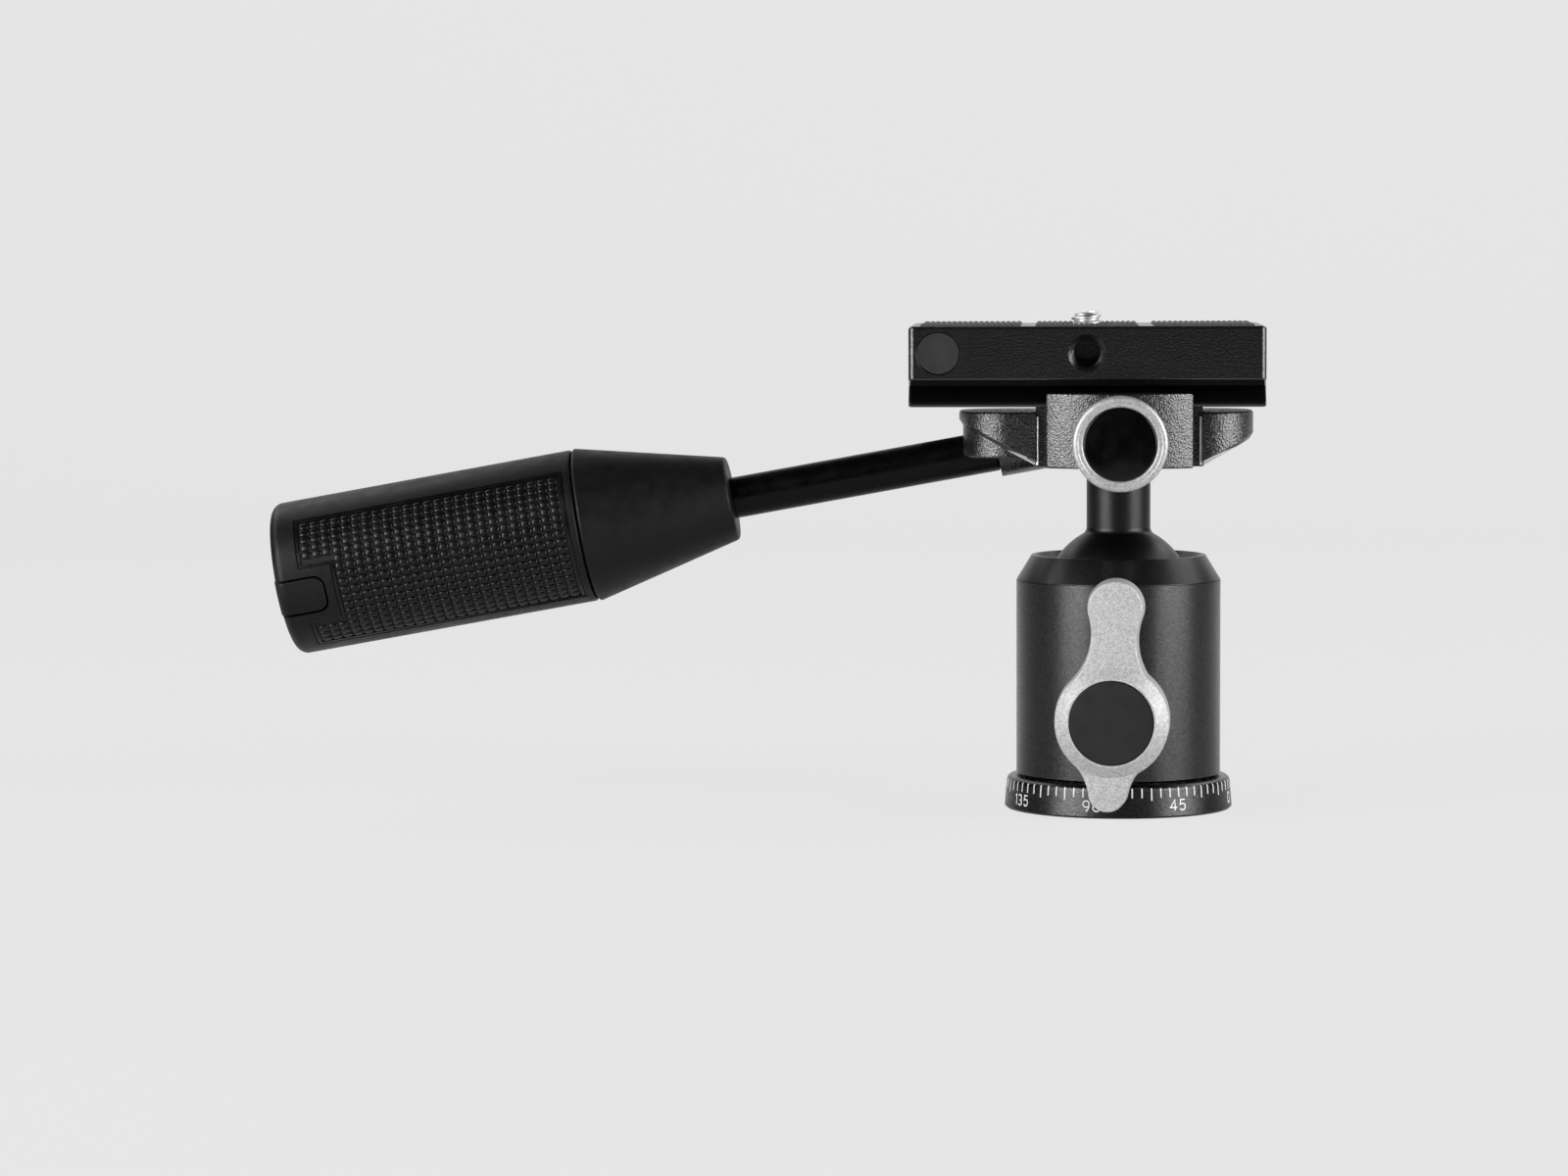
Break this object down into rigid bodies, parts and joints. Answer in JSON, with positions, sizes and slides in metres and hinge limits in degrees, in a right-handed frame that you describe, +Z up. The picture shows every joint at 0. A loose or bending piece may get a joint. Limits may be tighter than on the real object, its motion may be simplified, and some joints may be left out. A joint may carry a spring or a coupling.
{
  "type": "ball head",
  "caption": "Tripod ball head with a lever-locked ball, panning base with degree scale, screw clamp with quick-release plate, and a screw-in pan handle.",
  "frame": {"origin": "middle of the base's underside, at the mouth of the tripod thread", "axes": "+Z up along the panning axis, front with the lever and clamp knob towards -Y, pan handle towards -X"},
  "size_m": [0.2029, 0.0655, 0.101],
  "materials": {
    "base_black": "satin",
    "steel": "satin",
    "slip_plastic": "matte",
    "housing_charcoal": "matte",
    "collar_black": "satin",
    "bronze": "satin",
    "lever_silver": "satin",
    "cap_black": "satin",
    "ball_black": "satin",
    "clamp_black": "gloss",
    "plate_black": "satin",
    "pad_rubber": "matte",
    "plug_black": "satin",
    "screw_steel": "polished",
    "rod_black": "satin",
    "handle_plastic": "matte",
    "grip_rubber": "matte"
  },
  "bodies": {
    "base": {"base_plate": "base_black", "thread_insert": "steel", "thrust_washer": "slip_plastic", "spindle_clip": "steel"},
    "housing": {"main_housing": "housing_charcoal", "ball_collar": "collar_black", "upper_seat": "slip_plastic", "shaft_bush": "bronze"},
    "cup": {"pressure_cup": "slip_plastic"},
    "lever": {"lock_lever": "lever_silver", "lever_cap": "cap_black", "cam_shaft": "steel", "lever_screw": "steel", "lever_washer": "slip_plastic"},
    "brake_shoe": {"pan_brake_shoe": "bronze"},
    "pan_lock": {"pan_lock_knob": "lever_silver", "pan_lock_cap": "cap_black", "pan_lock_screw": "steel"},
    "ball": {"ball_stem": "ball_black", "clamp_bolt": "steel"},
    "clamp": {"clamp_base": "clamp_black", "guide_pins": "steel"},
    "jaw": {"clamp_jaw": "clamp_black"},
    "qr_knob": {"knob_ring": "lever_silver", "knob_cap": "cap_black", "knob_screw": "steel", "knob_washer": "steel"},
    "plate": {"plate_body": "plate_black", "pad_left": "pad_rubber", "pad_centre": "pad_rubber", "pad_right": "pad_rubber", "side_plug": "plug_black", "stop_screws": "steel"},
    "screw_ring": {"screw_clip": "steel"},
    "screw": {"camera_screw": "screw_steel"},
    "handle": {"handle_rod": "rod_black", "handle_cone": "handle_plastic", "rod_nut": "steel", "grip_core": "handle_plastic", "grip_shell": "grip_rubber"},
    "storage": {"storage_plug": "handle_plastic"}
  },
  "joints": [
    {"name": "pan", "type": "hinge", "parent": "base", "child": "housing", "pos_m": [0, 0, 0], "axis": [0, 0, 1], "continuous": true},
    {"name": "cup_lift", "type": "slide", "parent": "housing", "child": "cup", "axis": [0, 0, 1], "range_m": [-0.00035, 0]},
    {"name": "lock_lever_turn", "type": "hinge", "parent": "housing", "child": "lever", "pos_m": [0, 0, 0.0202], "axis": [-0.0523, -0.9986, 0], "range_deg": [0, 95]},
    {"name": "brake_shoe_slide", "type": "slide", "parent": "housing", "child": "brake_shoe", "axis": [0.0523, 0.9986, 0], "range_m": [0, 0.0007]},
    {"name": "pan_lock_turn", "type": "hinge", "parent": "brake_shoe", "child": "pan_lock", "pos_m": [0, 0, 0.0093], "axis": [0.0523, 0.9986, 0], "range_deg": [0, 360]},
    {"name": "ball_tilt", "type": "hinge", "parent": "housing", "child": "ball", "pos_m": [0, 0, 0.0428], "axis": [0, 1, 0], "range_deg": [-40, 40]},
    {"name": "ball_turn", "type": "hinge", "parent": "ball", "child": "clamp", "pos_m": [0, 0, 0.0428], "axis": [0, 0, 1], "continuous": true},
    {"name": "jaw_slide", "type": "slide", "parent": "clamp", "child": "jaw", "axis": [0, -1, 0], "range_m": [0, 0.002]},
    {"name": "qr_knob_turn", "type": "hinge", "parent": "jaw", "child": "qr_knob", "pos_m": [0, 0, 0.0755], "axis": [0, -1, 0], "range_deg": [0, 720]},
    {"name": "plate_slide", "type": "slide", "parent": "clamp", "child": "plate", "axis": [1, 0, 0], "range_m": [0, 0.0125]},
    {"name": "camera_screw_lift", "type": "slide", "parent": "plate", "child": "screw_ring", "axis": [0, 0, 1], "range_m": [0, 0.0028]},
    {"name": "camera_screw_turn", "type": "hinge", "parent": "screw_ring", "child": "screw", "pos_m": [-0.0065, 0, 0.099], "axis": [0, 0, 1], "continuous": true},
    {"name": "handle_turn", "type": "hinge", "parent": "clamp", "child": "handle", "pos_m": [-0.0246, 0, 0.07305], "axis": [-0.9839, 0, -0.1788], "continuous": true},
    {"name": "storage_plug_slide", "type": "slide", "parent": "handle", "child": "storage", "axis": [-0.9839, 0, -0.1788], "range_m": [0, 0.03]}
  ],
  "couplings": [
    {"joint": "lock_lever_turn", "follows": "cup_lift", "rad_per_m": -4735},
    {"joint": "pan_lock_turn", "follows": "brake_shoe_slide", "rad_per_m": 8970},
    {"joint": "qr_knob_turn", "follows": "jaw_slide", "rad_per_m": 6280}
  ]
}
